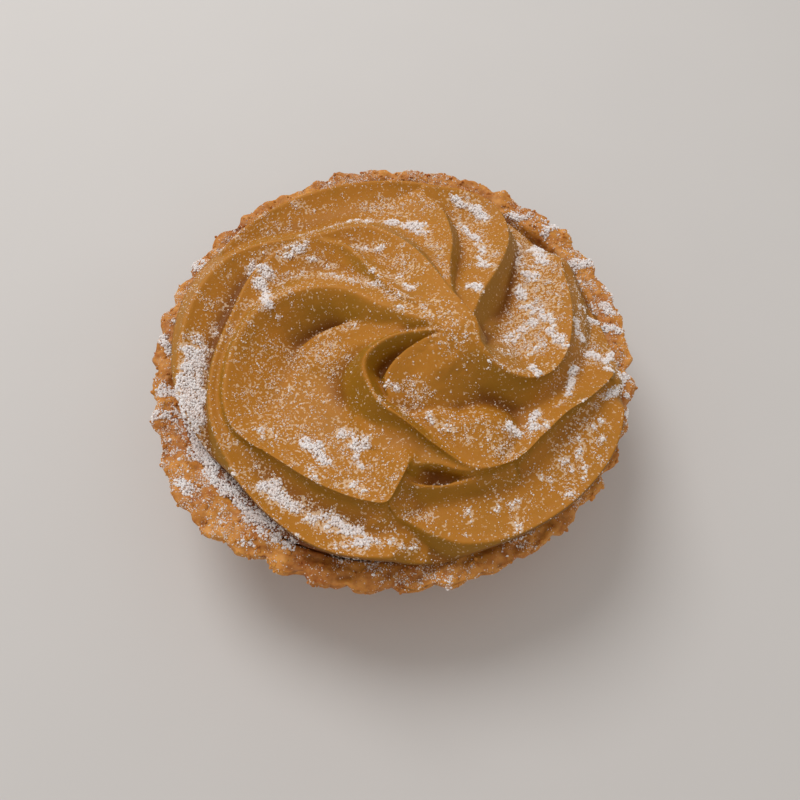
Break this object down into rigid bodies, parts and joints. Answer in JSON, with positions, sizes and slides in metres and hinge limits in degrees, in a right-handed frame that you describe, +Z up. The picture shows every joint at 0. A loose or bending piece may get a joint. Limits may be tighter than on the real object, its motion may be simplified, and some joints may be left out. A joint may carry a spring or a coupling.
{
  "type": "mont blanc tart",
  "caption": "Round tart: a fluted pastry shell with baked filling under a piped swirl of chestnut cream.",
  "frame": {"origin": "middle of the flat underside of the pastry shell, on the table", "axes": "+Z up through the tart, +X to the right and -Y towards the viewer of the picture"},
  "size_m": [0.0967, 0.0963, 0.0488],
  "materials": {
    "crust": "baked crumbly pastry",
    "filling": "baked almond filling",
    "cream": "smooth chestnut cream dusted with sugar"
  },
  "bodies": {
    "root": {"crust": "crust", "filling": "filling", "cream": "cream"}
  },
  "joints": []
}
